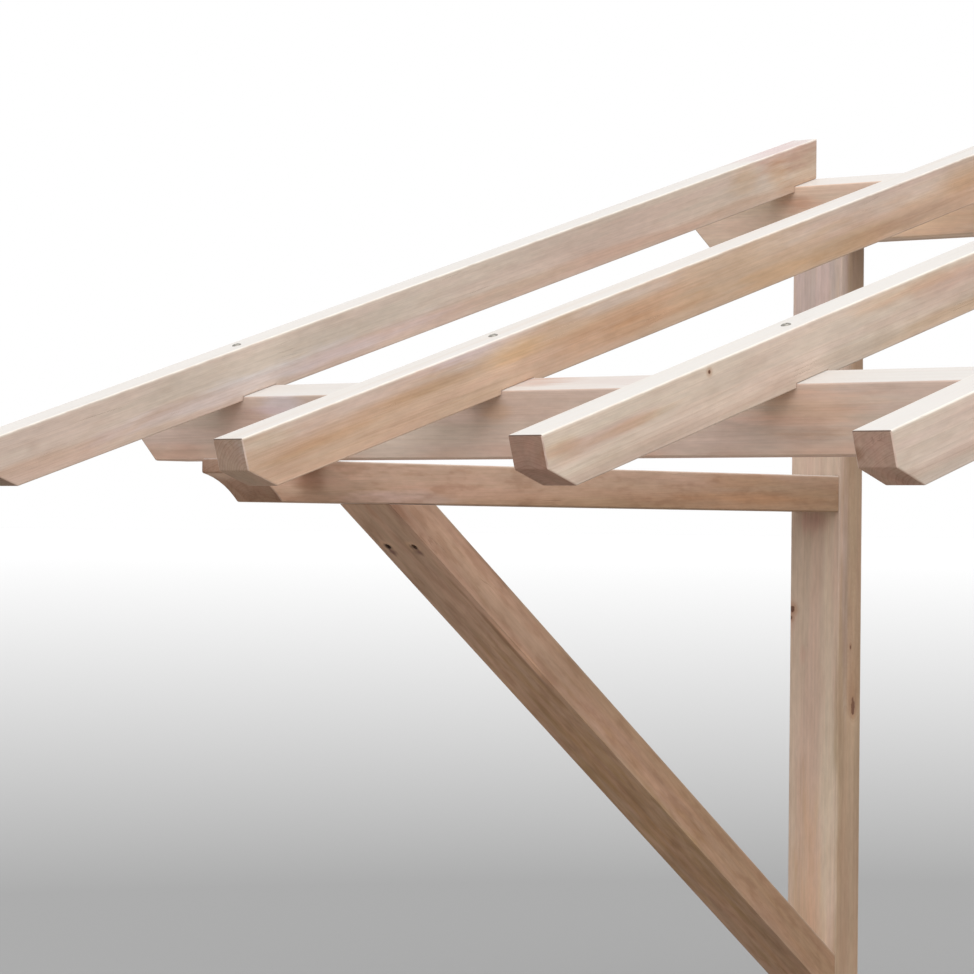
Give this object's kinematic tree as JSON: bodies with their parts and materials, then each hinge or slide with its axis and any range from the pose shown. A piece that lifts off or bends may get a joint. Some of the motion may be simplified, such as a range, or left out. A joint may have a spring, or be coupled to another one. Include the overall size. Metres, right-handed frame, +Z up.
{
  "type": "attached patio cover",
  "caption": "Lean-to timber canopy frame for a wall: braced wall brackets carry a front purlin, and sloping rafters run from it up to a wall purlin.",
  "frame": {"origin": "on the back face of the left wall post, in the middle of its width and level with the top of the arm and the underside of the front purlin", "axes": "+X along the purlins towards the right bracket, +Y into the wall, +Z up; the wall plane is Y = 0"},
  "size_m": [3.357, 1.83, 1.5928],
  "materials": {
    "bracket_timber": "planed, unfinished softwood",
    "purlin_timber": "planed, unfinished softwood",
    "rafter_timber": "planed, unfinished softwood"
  },
  "bodies": {
    "root": {"wall_post_left": "bracket_timber", "wall_post_right": "bracket_timber", "arm_left": "bracket_timber", "arm_right": "bracket_timber", "brace_left": "bracket_timber", "brace_right": "bracket_timber", "front_purlin": "purlin_timber", "wall_purlin": "purlin_timber", "rafter_1": "rafter_timber", "rafter_2": "rafter_timber", "rafter_3": "rafter_timber", "rafter_4": "rafter_timber", "rafter_5": "rafter_timber", "rafter_6": "rafter_timber", "rafter_7": "rafter_timber"}
  },
  "joints": []
}
